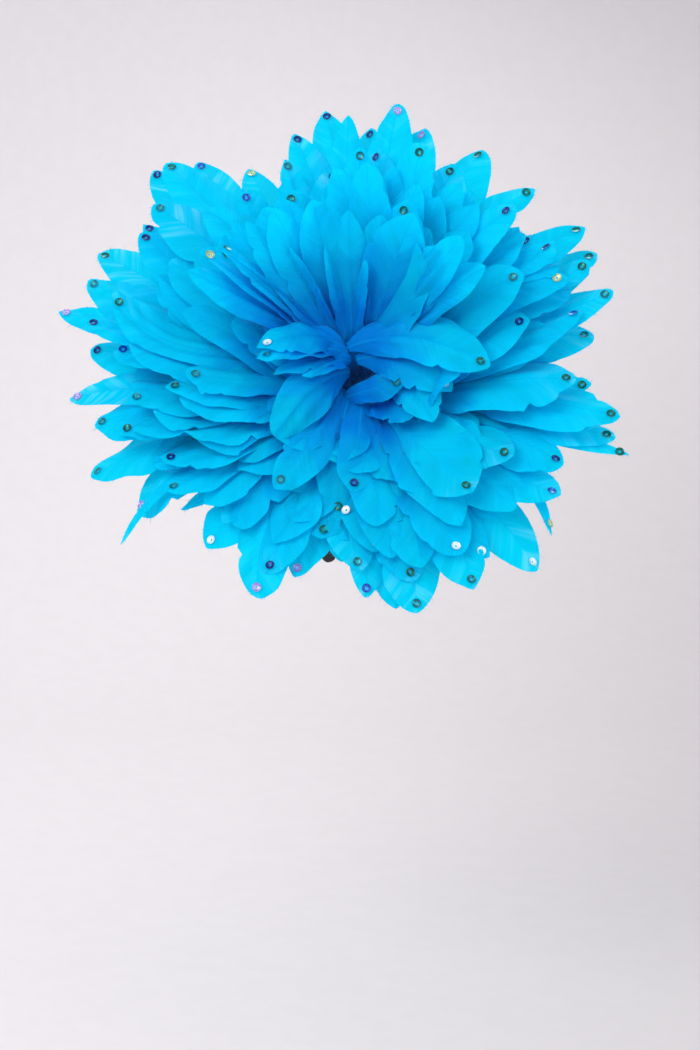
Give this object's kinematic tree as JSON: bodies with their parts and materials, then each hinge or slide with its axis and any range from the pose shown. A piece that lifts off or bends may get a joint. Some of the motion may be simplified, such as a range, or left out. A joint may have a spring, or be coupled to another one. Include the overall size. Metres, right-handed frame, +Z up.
{
  "type": "feather flower fascinator on a headband",
  "caption": "Large turquoise feather flower with a cup sequin at each feather tip, on a felt base on a black headband, worn on the left side of the head.",
  "frame": {"origin": "inner face of the headband at the top of the crown, where it sits on the head", "axes": "+X to the back of the head, -Y to the wearer's left, where the flower is, +Z up"},
  "size_m": [0.5154, 0.2784, 0.4416],
  "materials": {
    "feather": "dyed goose feather, soft satin sheen, thin enough to let light through at the tips",
    "satin": "black satin over a narrow plastic band",
    "felt": "dark blue wool felt",
    "navy": "iridescent cup sequin, navy",
    "green": "iridescent cup sequin, green",
    "teal": "iridescent cup sequin, teal",
    "blue": "iridescent cup sequin, blue",
    "lilac": "iridescent cup sequin, lilac",
    "straw": "iridescent cup sequin, pale yellow",
    "pearl": "iridescent cup sequin, clear white"
  },
  "bodies": {
    "root": {"base": "felt", "feather_row_01": "feather", "feather_row_02": "feather", "feather_row_03": "feather", "feather_row_04": "feather", "feather_row_05": "feather", "feather_row_06": "feather", "feather_row_07": "feather", "feather_row_08": "feather", "feather_row_09": "feather", "feather_row_10": "feather", "headband": "satin", "sequin_01": "teal", "sequin_02": "lilac", "sequin_03": "pearl", "sequin_04": "green", "sequin_05": "green", "sequin_06": "green", "sequin_07": "green", "sequin_08": "navy", "sequin_09": "navy", "sequin_10": "straw", "sequin_11": "navy", "sequin_12": "green", "sequin_13": "navy", "sequin_14": "lilac", "sequin_15": "lilac", "sequin_16": "pearl", "sequin_17": "pearl", "sequin_18": "teal", "sequin_19": "straw", "sequin_20": "green", "sequin_21": "teal", "sequin_22": "green", "sequin_23": "lilac", "sequin_24": "navy", "sequin_25": "blue", "sequin_26": "navy", "sequin_27": "teal", "sequin_28": "teal", "sequin_29": "lilac", "sequin_30": "blue", "sequin_31": "teal", "sequin_32": "blue", "sequin_33": "green", "sequin_34": "teal", "sequin_35": "green", "sequin_36": "lilac", "sequin_37": "teal", "sequin_38": "green", "sequin_39": "navy", "sequin_40": "lilac"}
  },
  "joints": []
}
